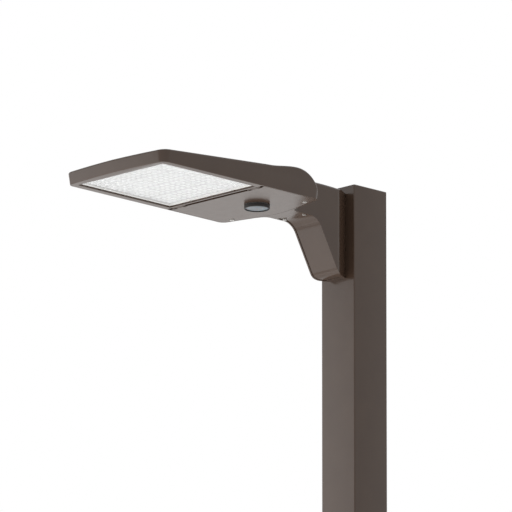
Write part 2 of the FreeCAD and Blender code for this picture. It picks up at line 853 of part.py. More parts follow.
def captive_ring(side):
    """Ring on the shank that keeps the undone screw in the door."""
    low = door_plate + captive_travel + hole_gap
    x = side * door_screw_x
    outer = post(x, door_screw_y, low, low + captive_ring_height, captive_ring_radius)
    return outer.cut(post(x, door_screw_y, low - 1, low + captive_ring_height + 1,
                          door_screw_radius + pin_running_gap))


# ---- Sensor ----------------------------------------------------------------
def sensor_housing():
    top = -sensor_gasket_thickness
    body = post(sensor_x, sensor_y, -sensor_height, top, sensor_radius)
    body = body.makeFillet(sensor_round, [e for e in body.Edges if e.BoundBox.ZMax < -sensor_height + 0.1
                                          and e.BoundBox.ZLength < 0.1])
    neck = post(sensor_x, sensor_y, top, sensor_neck_height, sensor_neck_radius)
    body = body.fuse(neck).removeSplitter()
    wells = [
        post(sensor_x, sensor_y, -sensor_height - 1, -sensor_height + sensor_lens_seat,
             sensor_radius - sensor_wall),
        post(sensor_x, sensor_y, -sensor_height, -sensor_height + sensor_well,
             sensor_radius - 2 * sensor_wall),
        post(sensor_x, sensor_y, door_plate, sensor_neck_height + 1, sensor_neck_radius - sensor_wall),
    ]
    return body.cut(wells)


def sensor_lens():
    low = -sensor_height + sensor_lens_drop
    body = post(sensor_x, sensor_y, low, -sensor_height + sensor_lens_seat,
                sensor_radius - sensor_wall - close_gap)
    return body.makeFillet(sensor_lens_round, [e for e in body.Edges if abs(e.BoundBox.ZMax - low) < 0.1])


def sensor_cell():
    top = -sensor_height + sensor_well
    return post(sensor_x, sensor_y, top - sensor_cell_height, top, sensor_cell_radius)


def sensor_gasket():
    return post(sensor_x, sensor_y, -sensor_gasket_thickness, 0, sensor_radius - 1).cut(
        post(sensor_x, sensor_y, -sensor_gasket_thickness - 1, 1, sensor_neck_radius + hole_gap))


def sensor_nut():
    corners = []
    for i in range(6):
        angle = math.radians(60 * i)
        corners.append((sensor_x + sensor_nut_radius * math.cos(angle),
                        sensor_y + sensor_nut_radius * math.sin(angle), 1.0))
    body = rounded_prism(corners, door_plate, door_plate + sensor_nut_height)
    return body.cut(post(sensor_x, sensor_y, 0, tall, sensor_neck_radius + pin_seat_gap))


# ---- Arm -------------------------------------------------------------------
def arm_under(offset, start_y, end_y):
    """Lower profile of the arm from the flange to the pole, moved into the metal by offset.

    Its sloping middle is the line that touches both bends, whose centres lie
    length apart on a line that falls by angle tilt.
    """
    upper = upper_bend + offset
    lower = lower_bend - offset
    centre_y = arm_drop_y
    centre_z = -upper_bend
    low_y = -arm_toe
    low_z = arm_bottom + lower_bend
    length = math.hypot(low_y - centre_y, low_z - centre_z)
    tilt = math.atan2(centre_z - low_z, low_y - centre_y)
    turn = tilt + math.asin((upper_bend + lower_bend) / length)

    def on_upper(angle):
        return Vector(0, centre_y + upper * math.sin(angle), centre_z + upper * math.cos(angle))

    def on_lower(angle):
        return Vector(0, low_y - lower * math.sin(angle), low_z - lower * math.cos(angle))

    start = Vector(0, start_y, offset)
    end = Vector(0, end_y, arm_bottom + offset)
    return [
        Part.LineSegment(start, on_upper(0)).toShape(),
        Part.Arc(on_upper(0), on_upper(turn / 2), on_upper(turn)).toShape(),
        Part.LineSegment(on_upper(turn), on_lower(turn)).toShape(),
        Part.Arc(on_lower(turn), on_lower(turn / 2), on_lower(0)).toShape(),
        Part.LineSegment(on_lower(0), end).toShape(),
    ]


def arm_back_z(y):
    """Height of the arm's back: a line from flange to pole, bowed upward."""
    share = (y - seam_y) / -seam_y
    return neck_top + (arm_top_at_pole - neck_top) * share + 4 * arm_top_bulge * share * (1 - share)


def arm_side(offset, drop, start_y, end_y):
    """Closed side outline: underside moved in by offset, back lowered by drop."""
    under = arm_under(offset, start_y, end_y)
    points = [Vector(0, y, arm_back_z(y) - drop) for y in (end_y, (start_y + end_y) / 2, start_y)]
    closing = [
        Part.LineSegment(Vector(0, end_y, arm_bottom + offset), points[0]).toShape(),
        Part.Arc(*points).toShape(),
        Part.LineSegment(points[2], Vector(0, start_y, offset)).toShape(),
    ]
    return under + closing


def arm_plan(inset):
    """Outline of the arm from above, drawn in by inset. It narrows towards the pole."""
    side = arm_half - inset
    slope = (arm_half - pole_face_width / 2) / taper_length
    face = pole_face_width / 2 - inset * math.hypot(1, slope)
    bend = (face - side) / slope
    right = [
        (side, seam_y - 1, 0),
        (side, bend, taper_round - inset),
        (face - slope, 1, 0),
    ]
    left = [(-x, y, radius) for x, y, radius in reversed(right)]
    return right + left


def arm():
    body = side_prism(arm_side(0, 0, seam_y, 0), arm_half)
    crowns = [e for e in body.Edges if e.BoundBox.XLength < 0.1 and e.BoundBox.ZMin > arm_round
              and e.BoundBox.YLength > -seam_y - 1]
    body = body.makeFillet(arm_round, crowns)
    body = body.common(rounded_prism(arm_plan(0), arm_bottom - 1, tall))
    hollow = side_prism(arm_side(-cover_boss_height, arm_roof, seam_y + arm_flange, -pad_thickness),
                        arm_half)
    hollow = hollow.common(rounded_prism(arm_plan(arm_wall), arm_bottom - tall, tall))
    above_cover = side_prism(arm_side(cover_depth, arm_roof, seam_y + arm_flange, -pad_thickness), arm_half)
    bosses = []
    for side in (-1, 1):
        xs = sorted((side * (cover_screw_x - cover_boss_half), side * (arm_half - arm_wall)))
        bosses.append(box(xs[0], xs[1], cover_screw_y - cover_boss_half,
                          cover_screw_y + cover_boss_half, -cover_depth,
                          cover_depth + cover_boss_height).common(above_cover))
    hollow = hollow.cut(bosses)
    cuts = [hollow, along_y(0, seam_y - 1, seam_y + arm_flange + 1, neck_wire_z, neck_wire_radius),
            along_y(0, -pad_thickness - 1, 1, pole_bolt_centre_z, wireway_radius),
            arm_gasket_form(0)]
    for x, z in arm_bolt_places():
        cuts.append(along_y(x, seam_y - 1, seam_y + arm_flange + 1, z, arm_bolt_radius + fit_gap))
    for z in pole_bolt_zs:
        cuts.append(along_y(0, -pad_thickness - 1, 1, z, pole_bolt_hole_radius))
    for side in (-1, 1):
        cuts.append(post(side * cover_screw_x, cover_screw_y, cover_recess,
                         cover_recess + cover_screw_length + 1, cover_screw_radius + pin_seat_gap))
    return body.cut(cuts)


def arm_gasket_form(gap):
    """Flat seal let into the flange face, smaller than its pocket by gap."""
    half = arm_half - arm_gasket_margin - gap
    low = arm_gasket_margin + gap
    high = neck_top - arm_gasket_margin - gap
    return box(-half, half, seam_y, seam_y + arm_gasket_thickness, low, high)


def arm_gasket():
    holes = [along_y(0, seam_y - 1, seam_y + arm_flange, neck_wire_z, neck_wire_radius)]
    for x, z in arm_bolt_places():
        holes.append(along_y(x, seam_y - 1, seam_y + arm_flange, z, arm_bolt_radius + fit_gap))
    return arm_gasket_form(close_gap).cut(holes)


def arm_bolts():
    """Socket-head bolts from the arm's hollow into the neck."""
    seat = seam_y + arm_flange + arm_washer_thickness
    bolts = []
    for x, z in arm_bolt_places():
        shank = along_y(x, seam_y - arm_bolt_engagement, seat, z, arm_bolt_radius)
        head = along_y(x, seat, seat + arm_bolt_head_height, z, arm_bolt_head_radius)
        socket = along_y(x, seat + arm_bolt_head_height / 2, seat + arm_bolt_head_height + 1, z,
                         arm_bolt_head_radius / 2)
        bolts.append(shank.fuse(head).removeSplitter().cut(socket))
    return bolts


def arm_washers():
    y0 = seam_y + arm_flange
    y1 = y0 + arm_washer_thickness
    return [along_y(x, y0, y1, z, arm_washer_radius).cut(
        along_y(x, y0 - 1, y1 + 1, z, arm_bolt_radius + pin_seat_gap)) for x, z in arm_bolt_places()]


def arm_cover():
    """Curved plate between the arm's side walls."""
    start_y = seam_y + arm_flange + cover_gap
    end_y = -pad_thickness - cover_gap
    lower = side_prism(arm_side(cover_recess, arm_roof, start_y, end_y), arm_half)
    upper = side_prism(arm_side(cover_depth, 0, start_y - 1, end_y + 1), arm_half + 1)
    body = lower.cut(upper)
    body = body.common(rounded_prism(arm_plan(arm_wall + cover_gap), arm_bottom - 1, tall))
    holes = [post(side * cover_screw_x, cover_screw_y, 0, cover_boss_height,
                  cover_screw_radius + fit_gap) for side in (-1, 1)]
    return body.cut(holes)


def arm_cover_screws():
    return [pan_screw(side * cover_screw_x, cover_screw_y, cover_recess, cover_screw_length,
                      cover_screw_radius, cover_screw_head_radius, cover_screw_head_height)
            for side in (-1, 1)]


# ---- Export ----------------------------------------------------------------
pieces = {
    "housing": housing(),
    "lens_gasket": lens_gasket(),
    "led_boards": led_boards(),
    "led_chips": led_chips(),
    "board_screws": board_screws(),
    "lens": lens(),
    "lens_frame": lens_frame(),
    "lens_frame_screws": lens_frame_screws(),
    "driver": driver(),
    "surge_protector": surge_protector(),
    "terminal_block": terminal_block(),
    "terminal_screws": terminal_screws(),
    "device_screws": device_mount_screws(),
    "ground_screw": ground_screw(),
    "wire_grommet": wire_grommet(),
    "door_gasket": door_gasket(),
    "hinge_pins": hinge_pins(),
    "door": door(),
    "captive_ring_left": captive_ring(-1),
    "captive_ring_right": captive_ring(1),
    "door_screw_left": door_screw(-1),
    "door_screw_right": door_screw(1),
    "sensor_housing": sensor_housing(),
    "sensor_lens": sensor_lens(),
    "sensor_cell": sensor_cell(),
    "sensor_gasket": sensor_gasket(),
    "sensor_nut": sensor_nut(),
    "arm": arm(),
    "arm_gasket": arm_gasket(),
    "arm_bolts": arm_bolts(),
    "arm_washers": arm_washers(),
    "arm_cover": arm_cover(),
    "arm_cover_screws": arm_cover_screws(),
}

os.makedirs("parts", exist_ok=True)
for name, piece in pieces.items():
    shape = Part.makeCompound(piece) if isinstance(piece, list) else piece
    print(name, "solids", len(shape.Solids), "valid", shape.isValid(), "volume", round(shape.Volume, 1))
    shape.exportStep("parts/" + name + ".step")
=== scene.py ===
"""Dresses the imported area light: smooth castings, domed optics, sensor, screws and finishes."""

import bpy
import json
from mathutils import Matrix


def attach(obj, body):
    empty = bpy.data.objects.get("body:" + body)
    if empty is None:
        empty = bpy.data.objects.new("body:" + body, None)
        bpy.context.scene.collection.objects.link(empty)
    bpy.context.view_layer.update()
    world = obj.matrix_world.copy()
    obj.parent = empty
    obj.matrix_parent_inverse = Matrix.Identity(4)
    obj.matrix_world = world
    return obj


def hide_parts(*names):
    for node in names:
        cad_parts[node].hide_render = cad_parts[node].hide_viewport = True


bl_info = {
    "name": "Pole Area Light",
    "version": (1, 0, 0),
    "blender": (4, 5, 0),
    "location": "3D View > Sidebar > Area Light",
    "description": "Gives the area light its cast surfaces, optics, fasteners and finishes",
    "category": "Object",
}

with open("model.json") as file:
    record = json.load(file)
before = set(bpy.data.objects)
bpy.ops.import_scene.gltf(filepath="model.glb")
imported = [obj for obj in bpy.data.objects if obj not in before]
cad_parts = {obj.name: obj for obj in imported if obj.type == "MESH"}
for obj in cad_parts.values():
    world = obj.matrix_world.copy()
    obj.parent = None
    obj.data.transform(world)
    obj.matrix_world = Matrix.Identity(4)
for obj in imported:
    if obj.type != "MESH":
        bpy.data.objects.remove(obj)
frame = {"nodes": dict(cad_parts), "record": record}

import json
import math

import bmesh
import bpy
import numpy as np
from mathutils import Vector

MM = 0.001
NOISE_LOW, NOISE_HIGH = 0.3, 0.7      # nearly all of a noise's values lie between these
MERGE_DISTANCE = 0.002 * MM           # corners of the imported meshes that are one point
SHARP_ANGLE = math.radians(50)        # faces of a new piece that meet more steeply keep their edge
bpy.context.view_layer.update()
NODES = frame["nodes"]
BODY_OF = {node: body for body, members in frame["record"]["behaviour"]["bodies"].items()
           for node in members}
SLOT_OF = {part["node"]: part["material_slot"] for part in frame["record"]["subparts"]}


# ---- Colour and node helpers -------------------------------------------------
def linear(hex_code):
    """sRGB hex to linear RGBA: v / 12.92 below 0.04045, else ((v + 0.055) / 1.055) ^ 2.4."""
    parts = np.array([int(hex_code[i:i + 2], 16) for i in (1, 3, 5)]) / 255
    low = parts / 12.92
    high = ((parts + 0.055) / 1.055) ** 2.4
    return (*np.where(parts <= 0.04045, low, high).tolist(), 1.0)


def add_node(material, kind, settings=None, **inputs):
    """Adds a node and sets its properties. An input given a socket is linked, else it is filled."""
    tree = material.node_tree
    made = tree.nodes.new(kind)
    for key, value in (settings or {}).items():
        setattr(made, key, value)
    for key, value in inputs.items():
        socket = made.inputs[key.replace("_", " ")] if key.replace("_", " ") in made.inputs \
            else made.inputs[int(key[1:])]
        if isinstance(value, bpy.types.NodeSocket):
            tree.links.new(value, socket)
        else:
            socket.default_value = value
    return made


def new_material(name, **inputs):
    """Material with one Principled shader: the material, its shader and the object coordinates."""
    material = bpy.data.materials.new(name)
    material.use_nodes = True
    material.node_tree.nodes.clear()
    shader = add_node(material, "ShaderNodeBsdfPrincipled", None, **inputs)
    add_node(material, "ShaderNodeOutputMaterial", None, Surface=shader.outputs["BSDF"])
    place = add_node(material, "ShaderNodeTexCoord").outputs["Object"]
    return material, shader, place


def noise(material, place, size_mm, detail=2.0, rough=0.5):
    """Noise whose features are about size_mm across."""
    return add_node(material, "ShaderNodeTexNoise", None, Vector=place,
                    Scale=1 / (size_mm * MM), Detail=detail, Roughness=rough).outputs["Fac"]


def blend_colours(material, factor, first, second):
    """Colour from first to second, both sRGB hex, over the noise's usual range."""
    ramp = add_node(material, "ShaderNodeValToRGB", None, Fac=factor)
    ramp.color_ramp.elements[0].position = NOISE_LOW
    ramp.color_ramp.elements[1].position = NOISE_HIGH
    ramp.color_ramp.elements[0].color = linear(first)
    ramp.color_ramp.elements[1].color = linear(second)
    return ramp.outputs["Color"]


def between(material, factor, low, high):
    """Value from low to high over the noise's usual range."""
    return add_node(material, "ShaderNodeMapRange", None, Value=factor, From_Min=NOISE_LOW,
                    From_Max=NOISE_HIGH, To_Min=low, To_Max=high).outputs["Result"]


def bump(material, height, depth_mm, strength=1.0):
    """Normal of a relief depth_mm deep."""
    return add_node(material, "ShaderNodeBump", None, Height=height, Distance=depth_mm * MM,
                    Strength=strength).outputs["Normal"]


def link(material, output, shader, name):
    material.node_tree.links.new(output, shader.inputs[name])


# ---- Materials -----------------------------------------------------------------
def bronze_powder_coat(colour, patch):
    """Baked polyester powder on cast aluminium: satin, faint orange peel, slightly uneven in tone."""
    material, shader, place = new_material("bronze_powder_coat", Roughness=0.24, IOR=1.43)
    tone = noise(material, place, 60, 3)
    link(material, blend_colours(material, tone, colour, patch), shader, "Base Color")
    haze = noise(material, place, 18, 4, 0.6)
    link(material, between(material, haze, 0.22, 0.27), shader, "Roughness")
    # real orange peel is about 1 mm across and is drawn at 3 mm so that it shows
    peel = noise(material, place, 3, 2)
    link(material, bump(material, peel, 0.02, 0.6), shader, "Normal")
    return material


def white_powder_coat():
    """White baked powder on a pressed frame: satin with a fine peel."""
    material, shader, place = new_material("white_powder_coat", Roughness=0.3, IOR=1.5)
    link(material, blend_colours(material, noise(material, place, 40), "#E9E8E6", "#EFEEEC"),
         shader, "Base Color")
    link(material, bump(material, noise(material, place, 2), 0.02, 0.5), shader, "Normal")
    return material


def moulded_acrylic(clarity):
    """Injection-moulded PMMA over white boards: glossy, with a haze that scatters part of the light."""
    material, shader, place = new_material("moulded_acrylic", Base_Color=linear("#FBFBFA"), Roughness=0.12,
                                           IOR=1.49, Transmission_Weight=clarity)
    # the grain of the spark-eroded mould is about 0.1 mm and is drawn at 4 mm so that it shows
    grain = noise(material, place, 4, 3, 0.6)
    link(material, blend_colours(material, grain, "#F1F2F2", "#FFFFFF"), shader, "Base Color")
    link(material, bump(material, grain, 0.12, 0.5), shader, "Normal")
    return material


def silicone_seal():
    """Cured grey silicone: soft sheen, matt skin, faint mould grain."""
    material, shader, place = new_material("silicone_seal", Roughness=0.6, IOR=1.42)
    link(material, blend_colours(material, noise(material, place, 8), "#7C7C7A", "#868684"),
         shader, "Base Color")
    link(material, bump(material, noise(material, place, 1.5), 0.03, 0.5), shader, "Normal")
    return material


def black_rubber():
    """Moulded EPDM: matt black with a dusty bloom."""
    material, shader, place = new_material("black_rubber", Roughness=0.75, IOR=1.52)
    link(material, blend_colours(material, noise(material, place, 6, 4), "#151515", "#1E1D1C"),
         shader, "Base Color")
    return material


def white_solder_mask():
    """White solder mask on an aluminium-core board: even, glossy, slightly wavy over the traces."""
    material, shader, place = new_material("white_solder_mask", Roughness=0.3, IOR=1.5)
    link(material, blend_colours(material, noise(material, place, 25), "#F1F1EE", "#F6F6F4"),
         shader, "Base Color")
    link(material, bump(material, noise(material, place, 5), 0.03, 0.5), shader, "Normal")
    return material


def emitter_phosphor():
    """Phosphor in clear silicone over the emitter: warm yellow, satin."""
    material, shader, place = new_material("emitter_phosphor", Roughness=0.35, IOR=1.42)
    link(material, blend_colours(material, noise(material, place, 1.2), "#E8D27A", "#F2DF8E"),
         shader, "Base Color")
    return material


def stainless_steel():
    """Turned and tumbled stainless steel: bright metal with fine directionless scratches."""
    material, shader, place = new_material("stainless_steel", Metallic=1.0, Roughness=0.28)
    link(material, blend_colours(material, noise(material, place, 3, 4), "#C9C7C3", "#D6D4D0"),
         shader, "Base Color")
    link(material, between(material, noise(material, place, 1, 5, 0.7), 0.2, 0.36), shader, "Roughness")
    return material


def green_zinc():
    """Green-dyed zinc plate on the ground screw."""
    material, shader, place = new_material("green_zinc", Metallic=0.8, Roughness=0.35)
    link(material, blend_colours(material, noise(material, place, 2, 4), "#2E7A3E", "#388A49"),
         shader, "Base Color")
    return material


def mill_aluminium():
    """Pressed aluminium driver case: satin metal with fine drawing lines along its length."""
    material, shader, place = new_material("mill_aluminium", Metallic=1.0, Roughness=0.4)
    drawn = add_node(material, "ShaderNodeMapping", None, Vector=place,
                     Scale=(0.04, 1, 1)).outputs["Vector"]
    lines = noise(material, drawn, 0.8, 4, 0.6)
    link(material, blend_colours(material, lines, "#B9BBBD", "#CFD0D1"), shader, "Base Color")
    link(material, between(material, lines, 0.32, 0.48), shader, "Roughness")
    return material


def glass_filled_nylon(name, first, second):
    """Moulded glass-filled nylon: matt, with a fine fibre mottle and a spark-eroded texture."""
    material, shader, place = new_material(name, Roughness=0.55, IOR=1.53)
    link(material, blend_colours(material, noise(material, place, 4, 3), first, second),
         shader, "Base Color")
    link(material, bump(material, noise(material, place, 0.8), 0.02, 0.6), shader, "Normal")
    return material


def nickel_plate():
    """Drawn can of nickel-plated steel round the sensor's cell: bright, slightly warm, fine draw marks."""
    material, shader, place = new_material("nickel_plate", Metallic=1.0, Roughness=0.25)
    link(material, blend_colours(material, noise(material, place, 2, 4), "#BDB6AA", "#CBC5BA"),
         shader, "Base Color")
    return material


def sensor_polyethylene():
    """Milky grey high-density polyethylene lens: satin skin with light passing just under it."""
    material, shader, place = new_material("sensor_polyethylene", Roughness=0.38, IOR=1.52,
                                           Subsurface_Weight=0.15, Subsurface_Scale=1.5 * MM)
    link(material, blend_colours(material, noise(material, place, 10), "#5F676C", "#687075"),
         shader, "Base Color")
    return material


def pale_floor(colour):
    """Matt sealed floor, pale and slightly cloudy. Metal and glass see it as white as the backdrop."""
    material, shader, place = new_material("pale_floor", Roughness=0.8)
    link(material, blend_colours(material, noise(material, place, 900), colour, "#E9E8E6"),
         shader, "Base Color")
    path = add_node(material, "ShaderNodeLightPath")
    mirrored = add_node(material, "ShaderNodeMath", {"operation": "MAXIMUM"},
                        i0=path.outputs["Is Glossy Ray"], i1=path.outputs["Is Transmission Ray"])
    white = add_node(material, "ShaderNodeEmission", None, Color=(1, 1, 1, 1), Strength=1.0)
    mixed = add_node(material, "ShaderNodeMixShader", None, Fac=mirrored.outputs[0],
                     i1=shader.outputs["BSDF"], i2=white.outputs["Emission"])
    surface = next(n for n in material.node_tree.nodes if n.type == "OUTPUT_MATERIAL")
    material.node_tree.links.new(mixed.outputs[0], surface.inputs["Surface"])
    return material


def make_finishes(settings):
    """Every finish under the record's slot name."""
    return {
        "bronze_paint": bronze_powder_coat(settings.coat, settings.coat_patch),
        "frame_paint": white_powder_coat(),
        "clear_acrylic": moulded_acrylic(settings.lens_clarity),
        "silicone_rubber": silicone_seal(),
        "black_rubber": black_rubber(),
        "white_board": white_solder_mask(),
        "led_phosphor": emitter_phosphor(),
        "stainless_steel": stainless_steel(),
        "green_steel": green_zinc(),
        "driver_case": mill_aluminium(),
        "surge_case": glass_filled_nylon("black_nylon", "#1A1A1B", "#232324"),
        "terminal_plastic": glass_filled_nylon("ivory_nylon", "#CFC9BA", "#D8D2C4"),
        "black_plastic": glass_filled_nylon("charcoal_polycarbonate", "#1C1A19", "#262321"),
        "sensor_lens": sensor_polyethylene(),
        "sensor_metal": nickel_plate(),
    }


FINISHES = {}      # slot name to material, filled by the finishes operator


def dress(piece, slot_name):
    piece.data.materials.clear()
    piece.data.materials.append(FINISHES[slot_name])


# ---- Mesh helpers ----------------------------------------------------------------
def object_from(name, vertices, faces, smooth=True):
    mesh = bpy.data.meshes.new(name)
    mesh.from_pydata(np.asarray(vertices).tolist(), [], faces)
    mesh.polygons.foreach_set("use_smooth", np.full(len(mesh.polygons), smooth))
    mesh.update()
    piece = bpy.data.objects.new(name, mesh)
    bpy.context.scene.collection.objects.link(piece)
    return piece


def seat_piece(piece, slot_name, body, *stands_for):
    """Finish, slot and body for a new piece, and the nodes that it stands for."""
    dress(piece, slot_name)
    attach(piece, body)
    if stands_for:
        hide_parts(*stands_for)
    return piece


def merged_copy(node, name, flat_angle=1.0):
    """Copy of a node with its doubles merged and its flat faces joined."""
    source = NODES[node].data
    work = bmesh.new()
    work.from_mesh(source)
    bmesh.ops.remove_doubles(work, verts=work.verts, dist=MERGE_DISTANCE)
    bmesh.ops.dissolve_limit(work, angle_limit=math.radians(flat_angle), verts=work.verts,
                             edges=work.edges, delimit={"NORMAL"})
    mesh = bpy.data.meshes.new(name)
    work.to_mesh(mesh)
    work.free()
    piece = bpy.data.objects.new(name, mesh)
    bpy.context.scene.collection.objects.link(piece)
    return piece


def softened(node, edge_mm, crease=32.0, segments=2):
    """Smooth-shaded copy of a node, its sharp edges rounded by edge_mm."""
    piece = merged_copy(node, node + "_surface")
    mesh = piece.data
    mesh.polygons.foreach_set("use_smooth", np.ones(len(mesh.polygons), bool))
    mesh.set_sharp_from_angle(angle=math.radians(crease))
    if edge_mm:
        rounding = piece.modifiers.new("edge_rounding", "BEVEL")
        rounding.width = edge_mm * MM
        rounding.segments = segments
        rounding.limit_method = "ANGLE"
        rounding.angle_limit = math.radians(crease)
        rounding.use_clamp_overlap = True
        rounding.harden_normals = True
    return seat_piece(piece, SLOT_OF[node], BODY_OF[node], node)


def extent(node):
    """Least and greatest corner of a node, as two arrays in metres."""
    mesh = NODES[node].data
    points = np.empty(3 * len(mesh.vertices), np.float32)
    mesh.vertices.foreach_get("co", points)
    points = points.reshape(-1, 3)
    return points.min(0), points.max(0)


def turned(name, centre, profile, around=96):
    """Profile (radius, z) carried round a vertical axis: x = cx + r cos t, y = cy + r sin t, z = z(r).

    The profile starts and ends on the axis, where one point closes the skin.
    """
    radii, heights = np.asarray(profile, float).T
    turn = np.linspace(0, 2 * math.pi, around, endpoint=False)
    inner = slice(1, -1)
    grid = np.stack([centre[0] + np.outer(radii[inner], np.cos(turn)),
                     centre[1] + np.outer(radii[inner], np.sin(turn)),
                     np.outer(heights[inner], np.ones(around))], -1).reshape(-1, 3)
    ends = [(centre[0], centre[1], heights[0]), (centre[0], centre[1], heights[-1])]
    count = len(radii) - 2
    column = np.arange(around)
    beside = (column + 1) % around
    row = np.arange(count - 1)[:, None] * around
    quads = np.stack([row + column, row + beside, row + beside + around, row + column + around], -1)
    first, last = count * around, count * around + 1
    low = np.stack([np.full(around, first), beside, column], -1)
    high = np.stack([np.full(around, last), column + (count - 1) * around,
                     beside + (count - 1) * around], -1)
    faces = quads.reshape(-1, 4).tolist() + low.tolist() + high.tolist()
    return object_from(name, np.concatenate([grid, ends]), faces)


def height_field(name, xs, ys, low, top):
    """Solid under a flat top: its lower skin is z = low(x, y) on the grid xs by ys."""
    columns, rows = len(xs), len(ys)
    grid_x, grid_y = np.meshgrid(xs, ys)
    under = np.stack([grid_x, grid_y, low(grid_x, grid_y)], -1).reshape(-1, 3)
    index = np.arange(rows * columns).reshape(rows, columns)
    quads = np.stack([index[:-1, :-1], index[1:, :-1], index[1:, 1:], index[:-1, 1:]],
                     -1).reshape(-1, 4)
    rim = np.concatenate([index[0, :-1], index[:-1, -1], index[-1, :0:-1], index[:0:-1, 0]])
    over = under[rim] * (1, 1, 0) + (0, 0, top)
    lid = rows * columns + np.arange(len(rim))
    walls = np.stack([rim, np.roll(rim, -1), np.roll(lid, -1), lid], -1)
    faces = quads.tolist() + walls.tolist() + [lid.tolist()]
    piece = object_from(name, np.concatenate([under, over]), faces)
    piece.data.set_sharp_from_angle(angle=SHARP_ANGLE)
    return piece


# ---- Settings ----------------------------------------------------------------------
class LIGHT_PG_finish(bpy.types.PropertyGroup):
    coat: bpy.props.StringProperty(name="Coat colour", description="Powder coat, as sRGB hex",
                                   default="#44342A")
    coat_patch: bpy.props.StringProperty(name="Coat patches",
                                         description="Slightly lighter tone in the coat",
                                         default="#48382D")
    edge_rounding: bpy.props.FloatProperty(name="Edge rounding", description="Rounding of casting edges",
                                           default=0.5 * MM, min=0, unit="LENGTH", subtype="DISTANCE",
                                           precision=5)
    small_edge: bpy.props.FloatProperty(name="Small edge",
                                        description="Rounding of moulded and turned pieces",
                                        default=0.2 * MM, min=0, unit="LENGTH", subtype="DISTANCE",
                                        precision=5)
    lens_clarity: bpy.props.FloatProperty(name="Lens clarity",
                                          description="Share of the light that goes straight through",
                                          default=0.45, min=0, max=1)


class LIGHT_PG_optics(bpy.types.PropertyGroup):
    modules: bpy.props.IntProperty(name="Modules", description="Optic modules along each side",
                                   default=4, min=1)
    domes: bpy.props.IntProperty(name="Domes", description="Domes along each side of a module",
                                 default=4, min=1)
    dome_pitch: bpy.props.FloatProperty(name="Dome pitch", description="Distance from dome to dome",
                                        default=15 * MM, unit="LENGTH", subtype="DISTANCE", precision=4)
    dome_radius: bpy.props.FloatProperty(name="Dome radius", description="Radius of a dome's foot",
                                         default=7.2 * MM, unit="LENGTH", subtype="DISTANCE", precision=4)
    frame_cover: bpy.props.FloatProperty(name="Frame cover",
                                         description="Width of the lens hidden by its frame",
                                         default=6.5 * MM, unit="LENGTH", subtype="DISTANCE", precision=4)
    plate: bpy.props.FloatProperty(name="Plate", description="Thickness of the lens between its domes",
                                   default=3 * MM, unit="LENGTH", subtype="DISTANCE", precision=4)
    mesh_step: bpy.props.FloatProperty(name="Mesh step", description="Spacing of the points on the lens",
                                       default=1.3 * MM, unit="LENGTH", subtype="DISTANCE", precision=4)


class LIGHT_PG_sensor(bpy.types.PropertyGroup):
    crown: bpy.props.FloatProperty(name="Crown", description="Height of the sensor lens's crown",
                                   default=1.2 * MM, unit="LENGTH", subtype="DISTANCE", precision=5)
    ring: bpy.props.FloatProperty(name="Ring", description="Distance from one ridge of the lens to the next",
                                  default=2.6 * MM, unit="LENGTH", subtype="DISTANCE", precision=5)
    ring_depth: bpy.props.FloatProperty(name="Ring depth", description="Depth of the grooves between ridges",
                                        default=0.25 * MM, unit="LENGTH", subtype="DISTANCE",
                                        precision=5)
    lip: bpy.props.FloatProperty(name="Lip", description="Height of the slope round the lens's edge",
                                 default=0.4 * MM, unit="LENGTH", subtype="DISTANCE", precision=5)


class LIGHT_PG_stage(bpy.types.PropertyGroup):
    floor_height: bpy.props.FloatProperty(name="Floor height", description="Height of the floor",
                                          default=-8.0, unit="LENGTH", subtype="DISTANCE")
    floor_half: bpy.props.FloatProperty(name="Floor half", description="Half the floor's side",
                                        default=3.0, unit="LENGTH", subtype="DISTANCE")
    floor_colour: bpy.props.StringProperty(name="Floor colour", description="Floor, as sRGB hex",
                                           default="#E4E3E1")
    post_width: bpy.props.FloatProperty(name="Post width", description="Square post behind the arm",
                                        default=101.6 * MM, unit="LENGTH", subtype="DISTANCE", precision=4)
    post_top: bpy.props.FloatProperty(name="Post top", description="Height of the post's top",
                                      default=90 * MM, unit="LENGTH", subtype="DISTANCE", precision=4)
    post_corner: bpy.props.FloatProperty(name="Post corner", description="Corner rounding of the post",
                                         default=3 * MM, unit="LENGTH", subtype="DISTANCE", precision=4)
    post_chamfer: bpy.props.FloatProperty(name="Post chamfer", description="Chamfer round the post's top",
                                          default=1 * MM, unit="LENGTH", subtype="DISTANCE", precision=4)
    world_strength: bpy.props.FloatProperty(name="Sky strength", description="Soft light from all sides",
                                            default=0.66, min=0)
    key_power: bpy.props.FloatProperty(name="Key power", description="Soft light in front of the nose",
                                       default=118.0, min=0, unit="POWER")
    fill_power: bpy.props.FloatProperty(name="Fill power", description="Soft light below the head",
                                        default=150.0, min=0, unit="POWER")


